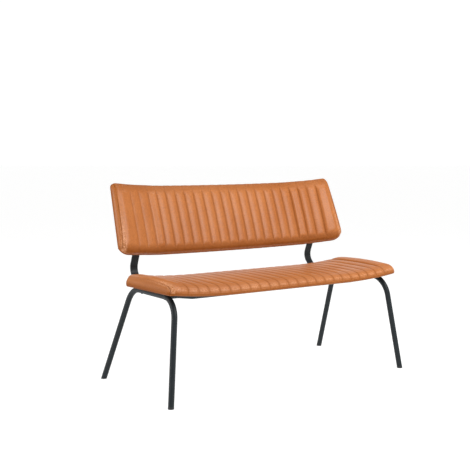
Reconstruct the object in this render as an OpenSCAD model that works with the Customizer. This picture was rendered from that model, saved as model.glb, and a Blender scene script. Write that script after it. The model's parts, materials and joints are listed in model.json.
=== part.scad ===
// Upholstered dining bench with a channelled seat and backrest on a bent steel tube frame.
// X runs along the bench, Y to the back, Z up. The origin lies on the floor, centred between the feet.

/* [Seat] */
// Width of the seat, along its face
seat_w = 1218; // [1100:2:1500]
// Depth of the seat, front to back
seat_d = 412; // [380:2:480]
// Height of the seat's face above the floor, in the middle
seat_h = 474; // [440:1:520]
// Thickness of the seat, face to underside of its shell
seat_t = 42; // [36:1:60]
// Half width of the flat middle of the seat
seat_flat = 300; // [250:5:400]
// Radius of the seat's raised ends
seat_end_bend = 2150; // [1500:10:3000]
// Radius of the roll at the seat's front edge
seat_front_roll = 24; // [10:1:28]
// Radius of the roll at the seat's back edge
seat_rear_roll = 20; // [10:1:28]
// Rounding of the seat's face at its two ends
seat_end_round = 18; // [8:1:24]
// Rounding of the seat's corners, seen from above
seat_corner = 28; // [15:1:36]
// Height of the crown across the seat's face
seat_crown = 2.5; // [0:0.5:6]
// Depth of the sewn channels in the seat
seat_groove = 2.5; // [1:0.5:4]

/* [Backrest] */
// Width of the backrest, along its face, at mid height
back_w = 1232; // [1100:2:1500]
// Height of the backrest panel
back_d = 320; // [260:1:400]
// Thickness of the backrest, face to rear of its shell
back_t = 42; // [34:1:56]
// Recline of the backrest from upright, in degrees
recline = 20.5; // [12:0.5:28]
// Height of the middle of the backrest's face above the seat's face
back_rise = 244; // [200:0.5:300]
// Distance of the middle of the backrest's face behind the seat's back edge
back_offset = 91; // [60:1:120]
// How much narrower the backrest's end gets from mid height to its top edge
back_taper = 10; // [0:1:16]
// Half width of the backrest's shallow middle curve
back_middle = 385; // [300:5:400]
// Radius of the backrest's shallow middle curve
back_middle_bend = 6500; // [4000:100:12000]
// Radius of the bend where each wing of the backrest starts
back_wing_bend = 350; // [200:10:600]
// Angle that each wing is bent forward, in degrees
back_wing_angle = 10.3; // [6:0.1:14]
// Radius of the roll at the backrest's top and bottom edges
back_roll = 17; // [10:1:22]
// Rounding of the backrest's face at its two ends
back_end_round = 20; // [8:1:24]
// Rounding of the backrest's corners, seen from the front
back_corner = 30; // [15:1:36]
// Height of the crown across the backrest's face
back_crown = 3; // [0:0.5:6]
// Depth of the sewn channels in the backrest
back_groove = 4; // [2:0.5:5]

/* [Upholstery] */
// Number of sewn channels
channels = 21; // [17:2:23]
// Width of one channel
channel_w = 50.4; // [40:0.1:52]
// Half width of the dip beside a channel's seam
channel_dip = 9; // [5:1:15]
// Thickness of the leather
leather_t = 2; // [1.2:0.1:3]
// Radius at which the leather turns in under a shell
edge_round = 10; // [6:1:14]
// How far the leather turns in under a shell
hem = 28; // [20:1:40]
// Thickness of the plywood shells
shell_t = 12; // [9:1:15]
// Thickness of the cloth under the seat
dust_t = 0.8; // [0.4:0.1:1.2]

/* [Side frames] */
// Outside diameter of the side frame tube
tube_d = 25; // [20:1:30]
// Wall of the side frame tube
tube_wall = 2; // [1.2:0.1:3]
// Bend radius of the side frame tube, at its centre line
tube_bend = 95; // [60:1:110]
// Distance of a side frame's top run in from the end of the seat
side_inset = 38; // [20:1:60]
// Distance of the front bend's corner behind the seat's front edge
front_inset = 43; // [20:1:60]
// Distance of the rear bend's corner in front of the seat's back edge
rear_inset = 4; // [0:1:40]
// How far a foot stands out to the side of the top run
side_splay = 54; // [30:1:80]
// Height of a spacer between a side frame and the seat
spacer_t = 5.5; // [3:0.5:9]
// Diameter of a spacer
spacer_d = 22; // [18:1:28]
// How far a front foot stands in front of its bend's corner
front_splay = 54; // [20:1:80]
// How far a rear foot stands behind its bend's corner
rear_splay = 182; // [120:1:220]

/* [Rails] */
// Outside diameter of the two cross rails
rail_d = 24; // [16:1:25]
// Wall of the cross rails
rail_wall = 1.5; // [1:0.1:2.5]
// Half length of a rail's straight middle
rail_flat = 430; // [350:5:450]
// Slope of a rail's raised ends, in degrees
rail_slope = 8; // [6:0.5:10]
// Bend radius of the rails, at their centre line
rail_bend = 100; // [60:5:150]
// Distance of the front rail behind the front bend's corner
front_rail_inset = 84; // [80:1:110]
// Distance of the rear rail in front of the rear bend's corner
rear_rail_inset = 84; // [75:1:110]

/* [Back supports] */
// Width of the flat steel of a back support
support_w = 35; // [25:1:45]
// Thickness of the flat steel of a back support
support_t = 6; // [4:0.5:8]
// Distance of a back support in from the end of the backrest
support_inset = 119; // [96:1:146]
// How far a back support reaches behind the seat's back edge
support_reach = 121; // [100:1:140]
// Bend radius of a back support where it leaves the seat
support_foot_bend = 25; // [15:1:40]
// Bend radius of a back support's main bend and top bend
support_bend = 50; // [35:1:70]
// Length of the sloping stretch behind the seat
support_slope_len = 36; // [25:1:45]
// Length of the stretch that lies on the backrest
support_pad_len = 100; // [80:1:130]

/* [Feet and fasteners] */
// Height of a foot along its leg
foot_t = 9; // [8.5:0.5:14]
// Length of a foot's plug inside its leg
plug_len = 22; // [10:1:40]
// Diameter of the bolts
bolt_d = 6; // [5:0.5:6]
// Clearance of a bolt in its hole, all round
bolt_gap = 0.25; // [0.1:0.05:0.5]
// Distance of the rail bolts from the middle of the bench
rail_bolt_x = 250; // [150:5:350]
// Distance of the side frame bolts from their rail
side_bolt_inset = 35; // [30:1:45]
// Distance between the two bolts of a back support
back_bolt_pitch = 60; // [40:1:70]

/* [Hidden] */
$fn = 48;

leather = [0.78, 0.48, 0.27];
steel = [0.17, 0.19, 0.20];
plywood = [0.80, 0.66, 0.46];
foam = [0.93, 0.88, 0.70];
zinc = [0.72, 0.73, 0.74];
black = [0.07, 0.07, 0.08];

// Clearance between leather, foam and shell
fit = 0.4;
// Clearance where a curved face rests on another face
touch = 0.2;
// Margin by which a cut runs past what it cuts
past = 1;
// Pieces of a swept path run this far into each other, and neighbours differ in size by the swell
lap = 0.5;
swell = 0.1;

run_x = seat_w / 2 - side_inset;
foot_x = run_x + side_splay;
foot_y = (front_splay + seat_d - front_inset - rear_inset + rear_splay) / 2;
front_corner_y = front_splay - foot_y;
rear_corner_y = foot_y - rear_splay;
seat_front_y = front_corner_y - front_inset;
seat_back_y = seat_front_y + seat_d;

// A curve is a list of [length along the face, radius], from the middle outwards. Radius 0 is straight.
seat_curve = [[seat_flat, 0], [seat_w, seat_end_bend]];
back_curve = [[back_middle, back_middle_bend],
    [back_wing_angle * PI / 180 * back_wing_bend, back_wing_bend], [back_w, 0]];
wing_turn = back_wing_angle + back_middle / back_middle_bend * 180 / PI;

// Underside of the seat in the middle, and the tubes that it rests on
under_z = seat_h - seat_t - dust_t;
rail_z = under_z - rail_d / 2 - touch;
run_z = seat_h + bent(seat_curve, along_at(seat_curve, run_x, -seat_t - dust_t), -seat_t - dust_t)[1]
    - spacer_t - tube_d / 2;
side_tilt = atan(side_splay / run_z);
leg_rise = run_z / cos(side_tilt);
front_rail_y = front_corner_y + front_rail_inset;
rear_rail_y = rear_corner_y - rear_rail_inset;
rail_end_z = run_z - (tube_d - rail_d) / 2 - 0.5;

// A pad is [half length, half width, face to shell underside, front roll, rear roll, end round, crown,
// groove depth, taper, curve, corner], in its own frame: X along it, Y across it, Z out of its face.
seat_pad = [seat_w / 2, seat_d / 2, seat_t, seat_front_roll, seat_rear_roll, seat_end_round,
    seat_crown, seat_groove, 0, seat_curve, seat_corner];
back_pad = [back_w / 2, back_d / 2, back_t, back_roll, back_roll, back_end_round,
    back_crown, back_groove, back_taper, back_curve, back_corner];
function half_length(pad) = pad[0];
function half_width(pad) = pad[1];
function thickness(pad) = pad[2];
function front_roll(pad) = pad[3];
function rear_roll(pad) = pad[4];
function end_round(pad) = pad[5];
function crown(pad) = pad[6];
function groove(pad) = pad[7];
function taper(pad) = pad[8];
function curve(pad) = pad[9];
function corner(pad) = pad[10];
last_seam = channels * channel_w / 2;

module in_seat_frame() {
    translate([0, seat_front_y + seat_d / 2, seat_h]) children();
}

back_origin = [seat_back_y + back_offset, seat_h + back_rise];
module in_back_frame() {
    translate([0, back_origin[0], back_origin[1]]) rotate([90 - recline, 0, 0]) children();
}

// Point [x, z] of a curved panel: u runs along its face from the middle, b is the height over the face.
function bent(curve, u, b, i = 0, x = 0, z = 0, turn = 0) =
    let (span = curve[i][0], r = curve[i][1], run = min(abs(u), span),
        next = r == 0 ? turn : turn + run / r * 180 / PI,
        end_x = r == 0 ? x + run * cos(turn) : x + r * (sin(next) - sin(turn)),
        end_z = r == 0 ? z + run * sin(turn) : z + r * (cos(turn) - cos(next)))
    abs(u) <= span || i == len(curve) - 1
        ? [sign(u) * (end_x - b * sin(next)), end_z + b * cos(next)]
        : bent(curve, sign(u) * (abs(u) - span), b, i + 1, end_x, end_z, next);

// The length along the face, u, at which a panel's layer b reaches x, found by halving
function along_at(curve, x, b, low = 0, high = 800, step = 0) =
    let (middle = (low + high) / 2)
    step > 30 ? middle : bent(curve, middle, b)[0] < x
        ? along_at(curve, x, b, middle, high, step + 1)
        : along_at(curve, x, b, low, middle, step + 1);

// Sweeps a flat section along a path in the XY plane, from the origin and along +X.
// A path is a list of [straight length, turn in degrees, bend radius]. Section X faces the left of it.
// The section adds $grow to its size, so that the pieces of the path join cleanly.
module swept(path, i = 0) {
    if (i < len(path)) {
        length = path[i][0];
        turn = path[i][1];
        radius = path[i][2];
        side = turn < 0 ? -1 : 1;
        before = i > 0 ? lap : 0;
        after = i < len(path) - 1 ? lap : 0;
        if (length > 0) translate([-before, 0, 0]) rotate([90, 0, 90])
            linear_extrude(length + before + (turn == 0 ? after : lap)) section_of(0) children();
        if (turn != 0) {
            open = (length > 0 ? lap : before) / radius * 180 / PI;
            close = after / radius * 180 / PI;
            translate([length, side * radius, 0])
                rotate(side > 0 ? -90 - open : 90 - abs(turn) - close)
                rotate_extrude(angle = abs(turn) + open + close, $fn = max($fn, radius / 2))
                translate([radius, 0]) mirror([side > 0 ? 1 : 0, 0])
                section_of(swell * (1 + i % 2)) children();
        }
        path_step(path[i]) swept(path, i + 1) children();
    }
}

module section_of(grown) {
    $grow = grown;
    children();
}

// Moves to the end of one step of a path
module path_step(step) {
    side = step[1] < 0 ? -1 : 1;
    translate([step[0], side * step[2], 0]) rotate(step[1]) translate([0, -side * step[2], 0]) children();
}

// Moves to the end of a whole path
module path_end(path, i = 0) {
    if (i == len(path)) children();
    else path_step(path[i]) path_end(path, i + 1) children();
}

// Where a path ends in its own plane: [x, y, heading]
function path_point(path, i = 0, at = [0, 0, 0]) =
    i == len(path) ? at :
    let (length = path[i][0], turn = path[i][1], r = path[i][2], side = turn < 0 ? -1 : 1,
        x = at[0] + length * cos(at[2]), y = at[1] + length * sin(at[2]), next = at[2] + turn)
    path_point(path, i + 1, [x + side * r * (sin(next) - sin(at[2])),
        y + side * r * (cos(at[2]) - cos(next)), next]);

// Points round an outline whose corners are rounded by a quadratic curve
function rounded(points, r, steps = 6) =
    [for (i = [0:len(points) - 1])
        let (corner = points[i], before = points[(i + len(points) - 1) % len(points)],
            after = points[(i + 1) % len(points)],
            from = corner + (before - corner) / norm(before - corner) * r,
            to = corner + (after - corner) / norm(after - corner) * r)
        for (k = [0:steps]) let (t = k / steps)
            from * (1 - t) * (1 - t) + corner * 2 * t * (1 - t) + to * t * t];

// Solid that joins rings of points, one after the other, with the first and the last ring filled
module lofted(rings) {
    n = len(rings[0]);
    last = len(rings) - 1;
    sides = [for (k = [0:last - 1]) for (i = [0:n - 1]) let (j = (i + 1) % n)
        each [[k * n + i, k * n + j, (k + 1) * n + j], [k * n + i, (k + 1) * n + j, (k + 1) * n + i]]];
    polyhedron([for (ring = rings) each ring],
        concat(sides, ring_cap(n, 0, false), ring_cap(n, last * n, true)), convexity = 8);
}

// Closes a ring of n points whose second half lies back to back with its first half
function ring_cap(n, first, flip) =
    [for (i = [0:ceil(n / 2) - 2]) let (a = first + i, b = first + i + 1, c = first + n - 2 - i,
        d = first + n - 1 - i)
        each b == c ? [flip ? [a, b, d] : [b, a, d]]
            : flip ? [[a, b, c], [a, c, d]] : [[b, a, c], [c, a, d]]];

/* Sub-parts: side frames, feet, rails */

front_turn = atan2(leg_rise, front_splay);
rear_turn = atan2(leg_rise, rear_splay);
front_leg_len = norm([leg_rise, front_splay]);
rear_leg_len = norm([leg_rise, rear_splay]);
front_tangent = tube_bend * tan(front_turn / 2);
rear_tangent = tube_bend * tan(rear_turn / 2);
run_len = rear_corner_y - front_corner_y - front_tangent - rear_tangent;

// Path of a side frame from a distance up its front leg to the same distance up its rear leg
function side_path(lift) = [[front_leg_len - front_tangent - lift, -front_turn, tube_bend],
    [run_len, -rear_turn, tube_bend], [rear_leg_len - rear_tangent - lift, 0, 0]];

// Moves to the front foot of the right frame, with X up the leg, Y to its front and Z outwards
module on_front_leg() {
    translate([foot_x, 0, 0]) rotate([0, -side_tilt, 0]) rotate([90, 0, 90])
        translate([-foot_y, 0, 0]) rotate(front_turn) children();
}

module on_rear_leg() {
    translate([foot_x, 0, 0]) rotate([0, -side_tilt, 0]) rotate([90, 0, 90])
        translate([foot_y, 0, 0]) rotate(180 - rear_turn) children();
}

module side_tube(d, lift) {
    on_front_leg() translate([lift, 0, 0]) swept(side_path(lift)) circle(d = d + $grow);
}

module side_frame() {
    color(steel) difference() {
        side_tube(tube_d, foot_t);
        side_tube(tube_d - 2 * tube_wall, foot_t - past);
        side_bolt_spots() tube_hole();
    }
}

module foot() {
    color(black) difference() {
        rotate([0, 90, 0]) union() {
            translate([0, 0, -tube_d / 2]) cylinder(d = tube_d, h = tube_d / 2 + foot_t);
            cylinder(d = tube_d - 2 * tube_wall - 2 * bolt_gap, h = foot_t + plug_len);
        }
        children();
    }
}

module below_floor() {
    translate([0, 0, -tube_d]) cube([2 * foot_x + 4 * tube_d, 2 * foot_y + 4 * tube_d, 2 * tube_d],
        center = true);
}

module foot_front() {
    difference() {
        on_front_leg() foot();
        below_floor();
    }
}

module foot_rear() {
    difference() {
        on_rear_leg() foot();
        below_floor();
    }
}

rail_rise = rail_end_z - rail_z;
rail_ramp = (rail_rise - 2 * rail_bend * (1 - cos(rail_slope))) / sin(rail_slope);
rail_reach = rail_flat + 2 * rail_bend * sin(rail_slope) + rail_ramp * cos(rail_slope);
rail_path = [[run_x - rail_reach, -rail_slope, rail_bend], [rail_ramp, rail_slope, rail_bend],
    [2 * rail_flat, rail_slope, rail_bend], [rail_ramp, -rail_slope, rail_bend],
    [run_x - rail_reach, 0, 0]];

module rail_rod(y, d) {
    translate([-run_x, y, rail_end_z]) rotate([90, 0, 0]) swept(rail_path) circle(d = d + $grow);
}

module rail(y) {
    color(steel) difference() {
        rail_rod(y, rail_d);
        rail_rod(y, rail_d - 2 * rail_wall);
        for (side = [0, 1]) mirror([side, 0, 0]) translate([run_x, y, run_z])
            rotate([90, 0, 0]) cylinder(d = tube_d, h = 2 * rail_d, center = true);
        rail_bolt_spots() tube_hole();
    }
}

/* Sub-parts: back supports */

support_x = back_w / 2 - support_inset;
// The lowest layer of the seat over a support, at the support's inner edge
support_top_z = seat_h + bent(seat_curve,
    along_at(seat_curve, support_x - support_w / 2, -seat_t), -seat_t - fit - leather_t)[1];
support_foot_z = support_top_z - fit - support_t / 2;

// A support lies on the rear of a wing: its centre line there, in the backrest's frame
support_layer = -back_t - leather_t - 2 * touch - support_t / 2;
support_u = along_at(back_curve, support_x, support_layer);
support_pad_z = bent(back_curve, support_u, support_layer)[1];

// Headings of a support: level, up the slope, forward, and along the backrest
slope_turn = 45;
forward_turn = 67;
forward_heading = slope_turn + forward_turn;
top_turn = forward_heading - (90 - recline);
twist_len = 30;

foot_run = seat_back_y + support_reach - rear_rail_y - support_foot_bend * sin(slope_turn)
    - support_slope_len * cos(slope_turn) - support_bend * (1 - sin(slope_turn));
lower_path = [[foot_run, slope_turn, support_foot_bend], [support_slope_len, forward_turn, support_bend]];

// The forward stretch ends where the top bend runs into the line along the backrest
forward_start = path_point(lower_path) + [rear_rail_y, support_foot_z, 0];
pad_line = back_origin + support_pad_z * [-cos(recline), sin(recline)];
pad_way = [sin(recline), cos(recline)];
forward_way = [cos(forward_heading), sin(forward_heading)];
to_line = pad_line - [forward_start[0], forward_start[1]];
to_corner = (to_line[0] * pad_way[1] - to_line[1] * pad_way[0])
    / (forward_way[0] * pad_way[1] - forward_way[1] * pad_way[0]);
forward_len = to_corner - support_bend * tan(top_turn / 2) - twist_len;
support_path = concat(lower_path, [[forward_len + lap, 0, 0]]);
upper_path = [[0, -top_turn, support_bend], [support_pad_len, 0, 0]];

// Where the stretch on the backrest starts, across the backrest from its middle
pad_corner = [forward_start[0], forward_start[1]] + forward_way * to_corner;
pad_start = (pad_corner - pad_line) * pad_way + support_bend * tan(top_turn / 2);
back_bolt_y = [pad_start + (support_pad_len - back_bolt_pitch) / 2,
    pad_start + (support_pad_len + back_bolt_pitch) / 2];

module support_section() {
    square([support_t + $grow, support_w + $grow], center = true);
}

module back_support() {
    color(steel) difference() {
        translate([support_x, rear_rail_y, support_foot_z]) rotate([90, 0, 90]) {
            swept(support_path) support_section();
            path_end(support_path) translate([-lap, 0, 0]) {
                rotate([90, 0, 90]) linear_extrude(twist_len, twist = wing_turn, slices = 6, segments = 4)
                    section_of(3 * swell) support_section();
                translate([twist_len, 0, 0]) swept(upper_path) rotate(-wing_turn) support_section();
                translate([twist_len - lap, 0, 0]) rotate([90, 0, 90]) linear_extrude(2 * lap)
                    rotate(-wing_turn) section_of(0) support_section();
            }
        }
        rail_rod(rear_rail_y, rail_d);
        in_back_frame() back_bolt_spots() bolt_hole();
    }
}

/* Sub-parts: fasteners */

head_d = bolt_d * 1.75;
head_t = bolt_d * 0.55;
washer_d = bolt_d * 2.2;
washer_t = 1.2;
// The seat's bolts have their heads inside the tubes, on narrow washers, and pass in from below
narrow_washer_d = bolt_d * 1.83;
access_d = narrow_washer_d + 4 * bolt_gap;
function washer_rise(bore) = sqrt(pow(bore, 2) - pow(narrow_washer_d, 2)) / 2 - touch / 2;
rail_seat_up = washer_rise(rail_d - 2 * rail_wall);
side_seat_up = washer_rise(tube_d - 2 * tube_wall);
nut_d = bolt_d + 2;
flange_d = bolt_d * 3;
flange_t = 1.2;

// The seat's bolt spots lie on the tubes' centre lines, with Z up
module rail_bolt_spots() {
    for (x = [-rail_bolt_x, rail_bolt_x], y = [front_rail_y, rear_rail_y])
        translate([x, y, rail_z]) children();
}

module side_bolt_spots(sides = [0, 1]) {
    for (side = sides, y = [front_rail_y + side_bolt_inset, rear_rail_y - side_bolt_inset])
        mirror([side, 0, 0]) translate([run_x, y, run_z]) children();
}

// In the backrest's frame, for the right wing, on the outside of the support
module back_bolt_spots() {
    for (y = back_bolt_y) translate([support_x, y, support_pad_z]) rotate([0, -wing_turn, 0])
        translate([0, 0, -support_t / 2]) children();
}

module both_wings() {
    for (side = [0, 1]) mirror([side, 0, 0]) children();
}

module bolt_hole() {
    cylinder(d = bolt_d + 2 * bolt_gap, h = 4 * tube_d, center = true);
}

// Hole for a bolt and for its head to pass through the lower wall of a tube
module tube_hole() {
    bolt_hole();
    translate([0, 0, -tube_d]) cylinder(d = access_d, h = tube_d);
}

// Hole for a T-nut whose flange is let into the shell. The shell's top lies at height reach.
module nut_hole(reach) {
    cylinder(d = nut_d, h = 4 * tube_d, center = true);
    translate([0, 0, reach - flange_t]) cylinder(d = flange_d, h = tube_d);
}

module t_nut(reach) {
    color(zinc) difference() {
        union() {
            translate([0, 0, reach - flange_t]) cylinder(d = flange_d, h = flange_t);
            translate([0, 0, reach - shell_t + past]) cylinder(d = nut_d, h = shell_t - past);
        }
        cylinder(d = bolt_d + touch, h = 8 * tube_d, center = true);
    }
}

module washer(d) {
    color(zinc) translate([0, 0, -washer_t]) difference() {
        cylinder(d = d, h = washer_t);
        cylinder(d = bolt_d + bolt_gap, h = 4 * washer_t, center = true);
    }
}

// The washer's upper side lies at Z = 0, and the bolt points along +Z into the shell
module bolt(reach) {
    color(zinc) difference() {
        union() {
            translate([0, 0, -washer_t]) cylinder(d = bolt_d, h = reach + washer_t - flange_t);
            translate([0, 0, -washer_t - head_t]) cylinder(d = head_d, h = head_t);
        }
        translate([0, 0, -washer_t - head_t - past])
            cylinder(d = bolt_d * 0.6, h = past + head_t * 0.6, $fn = 6);
    }
}

// From a bolt's spot to the top of the shell, straight up
rail_reach_up = rail_d / 2 + touch + dust_t + shell_t;
side_reach_up = seat_h + bent(seat_curve, along_at(seat_curve, run_x, shell_t - seat_t),
    shell_t - seat_t)[1] - run_z - flange_d / 2 * tan(seat_tilt(run_x));
back_reach_up = support_t + 2 * touch + leather_t + shell_t;
function seat_tilt(x) = x < seat_flat ? 0 : asin((x - seat_flat) / seat_end_bend);

/* Sub-parts: shells, foam and leather */

// A layer of a pad between heights low and high over its face, cut to an outline seen from the front.
// Its bends are set a little higher, or lower for a layer under a shell, so that its pieces join cleanly.
module layer(pad, low, high, inset, corner, down = false) {
    intersection() {
        full_path(pad, low, high, down);
        translate([0, 0, -400]) linear_extrude(800)
            polygon(rounded(outline(pad, inset, high), corner));
    }
}

// The outline's four corners, kept inside the leather of the ends
function outline(pad, inset, b) =
    let (x = bent(curve(pad), half_length(pad) - inset, b)[0], y = half_width(pad) - inset,
        lean = taper(pad) * y / half_width(pad))
    [[x + lean, -y], [x - lean, y], [lean - x, y], [-x - lean, -y]];

// The whole curved layer, wider than its outline
module full_path(pad, low, high, down = false) {
    arcs = curve(pad);
    reach = half_length(pad) + 2 * taper(pad) + 4;
    steps = [for (i = [0:len(arcs) - 1]) let (before = along_before(arcs, i),
        span = min(arcs[i][0], reach - before)) arcs[i][1] == 0 ? [span, 0, 0]
        : [0, span / arcs[i][1] * 180 / PI, arcs[i][1]]];
    heading = total_turn(steps);
    mirrored = [for (i = [len(steps) - 1:-1:0]) steps[i]];
    start = bent(arcs, -reach, 0);
    translate([start[0], 0, start[1]]) rotate([90, 0, 0]) rotate(-heading)
        swept(concat(mirrored, steps)) translate([low + (down ? -$grow : $grow), -half_width(pad) - $grow])
            square([high - low, 2 * (half_width(pad) + $grow)]);
}

function along_before(arcs, i) = i == 0 ? 0 : arcs[i - 1][0] + along_before(arcs, i - 1);
function total_turn(steps, i = 0) = i == len(steps) ? 0 : steps[i][1] + total_turn(steps, i + 1);

// How far a section is drawn in at distance e from an end that is rounded by r: a quarter circle
function drawn_in(r, e) = e >= r ? 0 : r - sqrt(pow(r, 2) - pow(r - max(e, 0), 2));

roll_steps = 3;
// The leather's turn under the shell is drawn as a bevel
function bevel(off) = 0.7 * max(edge_round - off, 2);

// Half width of a section at distance e from its pad's end, and off inside the leather's outer side
function half_at(pad, e, off) = half_width(pad) - drawn_in(corner(pad), e) - off;

// The upper part of a section as [y, z] points, over the front roll, the crown and the rear roll:
// dip is the depth of the channel's seam here. The rolls stay above height base, so they get
// smaller towards a rounded end.
function over(pad, e, off, dip, base) =
    let (top = -drawn_in(end_round(pad), e) - off - dip, edge = half_at(pad, e, off) - dip,
        front = min(front_roll(pad) - off / 2, 0.9 * (top - base)),
        rear = min(rear_roll(pad) - off / 2, 0.9 * (top - base)))
    concat([for (k = [0:roll_steps]) let (t = 90 * k / roll_steps)
            [front * (1 - cos(t)) - edge, top - front * (1 - sin(t))]],
        [for (k = [1:3]) let (y = front - edge + (2 * edge - front - rear) * k / 4)
            [y, top + crown(pad) * (1 - pow(k / 2 - 1, 2))]],
        [for (k = [roll_steps:-1:0]) let (t = 90 * k / roll_steps)
            [edge - rear * (1 - cos(t)), top - rear * (1 - sin(t))]]);

// A whole section from the front hem over the face to the rear hem
function section(pad, e, off, dip, bottom) =
    let (half = half_at(pad, e, off), c = bevel(off), low = bottom + max(0, c - e + off))
    concat([[hem - half, low], [c - half, low], [-half, low + c]], over(pad, e, off, dip, low + c),
        [[half, low + c], [half - c, low], [half - hem, low]]);

// Puts a section at u along a pad. Past the last seam the ends follow the taper.
function placed(pad, u, points) = [for (p = points)
    let (b = p[1], full = half_length(pad), lean = full - taper(pad) * p[0] / half_width(pad),
        grown = abs(u) <= last_seam ? u
            : sign(u) * (last_seam + (abs(u) - last_seam) * (lean - last_seam) / (full - last_seam)),
        q = bent(curve(pad), grown, b))
    [q[0], p[0], q[1]]];

function reversed(list) = [for (i = [len(list) - 1:-1:0]) list[i]];

// The seam between the main leather and an end panel lies on the rounding
function seam_inset(pad) = corner(pad) * 0.2;
function seams() = [for (k = [0:channels]) (k - channels / 2) * channel_w];
function seam_stations(pad) =
    [for (s = seams()) each [[s - channel_dip, 0.12], [s, 1], [s + channel_dip, 0.12]]];
function end_stations(pad) = [for (e = [seam_inset(pad), corner(pad) * 0.5, corner(pad)])
    [half_length(pad) - e, 0]];
function stations(pad) = concat([for (s = end_stations(pad)) [-s[0], 0]], seam_stations(pad),
    reversed(end_stations(pad)));

module main_cover(pad) {
    bottom = -thickness(pad) - fit;
    color(leather) lofted([for (s = stations(pad))
        let (e = half_length(pad) - abs(s[0]))
        concat(placed(pad, s[0], section(pad, e, 0, s[1] * groove(pad), bottom - leather_t)),
            reversed(placed(pad, s[0], section(pad, e, leather_t + groove(pad), 0, bottom))))]);
}

// Leather over the end of a pad: a shallow dome that meets the main leather at the seam
module end_panel(pad, side) {
    bottom = -thickness(pad) - fit;
    seam = seam_inset(pad);
    outer = [for (e = [seam, seam * 0.4, 0])
        ring(pad, side, e, section(pad, e, 0, 0, bottom - leather_t))];
    inner = [for (e = [seam, max(seam * 0.6, leather_t), leather_t])
        ring(pad, side, e, section(pad, e, leather_t, 0, bottom))];
    rings = concat([for (r = reversed(inner)) r], outer);
    n = len(outer[0]);
    points = concat([for (r = rings) each r], [ring_middle(inner[2]), ring_middle(outer[2])]);
    far = len(rings) - 1;
    sides = [for (k = [0:far - 1], i = [0:n - 1]) let (j = (i + 1) % n)
        each [[k * n + i, k * n + j, (k + 1) * n + j], [k * n + i, (k + 1) * n + j, (k + 1) * n + i]]];
    caps = [for (i = [0:n - 1]) let (j = (i + 1) % n)
        each [[j, i, len(rings) * n], [far * n + i, far * n + j, len(rings) * n + 1]]];
    faces = concat(sides, caps);
    color(leather) polyhedron(points, side < 0 ? faces : [for (f = faces) [f[2], f[1], f[0]]],
        convexity = 6);
}

// A closed section at distance e from the end, without its two hem points
function ring(pad, side, e, points) =
    placed(pad, side * (half_length(pad) - e), [for (i = [1:len(points) - 2]) points[i]]);
function ring_middle(points, i = 0) = i == len(points) ? [0, 0, 0]
    : points[i] / len(points) + ring_middle(points, i + 1);

module foam_block(pad) {
    off = leather_t + groove(pad) + fit;
    bottom = shell_t - thickness(pad) + fit;
    spots = concat([-half_length(pad) + off, -half_length(pad) + corner(pad)], seams(),
        [half_length(pad) - corner(pad), half_length(pad) - off]);
    color(foam) lofted([for (u = spots) let (e = half_length(pad) - abs(u), half = half_at(pad, e, off),
        points = placed(pad, u, concat([[-half, bottom]], over(pad, e, off, 0, bottom), [[half, bottom]])))
        [for (i = [6, 5, 4, 3, 2, 1, 0, 12, 11, 10, 9, 8, 7]) points[i]]]);
}

// Distance of a shell's edge from the outside of the leather
shell_inset = leather_t + bevel(leather_t) + fit;

module seat_shell() {
    color(plywood) difference() {
        in_seat_frame() layer(seat_pad, -seat_t, shell_t - seat_t, shell_inset, seat_corner);
        rail_bolt_spots() nut_hole(rail_reach_up);
        side_bolt_spots() nut_hole(side_reach_up);
    }
}

module seat_dust_cover() {
    color(black) difference() {
        in_seat_frame() layer(seat_pad, -seat_t - dust_t, -seat_t, hem + leather_t, seat_corner, true);
        rail_bolt_spots() bolt_hole();
        side_bolt_spots() bolt_hole();
    }
}

// Spacer with a saddle below for the tube and a top that follows the seat
module seat_spacers() {
    color(black) difference() {
        side_bolt_spots() cylinder(d = spacer_d, h = tube_d + spacer_t);
        for (side = [0, 1]) mirror([side, 0, 0]) translate([run_x, 0, run_z]) rotate([90, 0, 0])
            cylinder(d = tube_d + touch, h = seat_d, center = true);
        in_seat_frame() full_path(seat_pad, -seat_t - dust_t - touch / 2, tube_d, true);
        side_bolt_spots() bolt_hole();
    }
}

module back_shell() {
    color(plywood) in_back_frame() difference() {
        layer(back_pad, -back_t, shell_t - back_t, shell_inset, back_corner);
        both_wings() back_bolt_spots() nut_hole(back_reach_up);
    }
}

module back_rear_cover() {
    color(leather) in_back_frame() difference() {
        layer(back_pad, -back_t - leather_t, -back_t, hem + leather_t, back_corner, true);
        both_wings() back_bolt_spots() bolt_hole();
    }
}

module seat_bolts() {
    rail_bolt_spots() translate([0, 0, rail_seat_up]) bolt(rail_reach_up - rail_seat_up);
    side_bolt_spots() translate([0, 0, side_seat_up]) bolt(side_reach_up - side_seat_up);
}

module seat_washers() {
    rail_bolt_spots() translate([0, 0, rail_seat_up]) washer(narrow_washer_d);
    side_bolt_spots() translate([0, 0, side_seat_up]) washer(narrow_washer_d);
}

module seat_t_nuts() {
    rail_bolt_spots() t_nut(rail_reach_up);
    side_bolt_spots() t_nut(side_reach_up);
}

module at_back_bolts() {
    in_back_frame() both_wings() back_bolt_spots() children();
}

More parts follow.
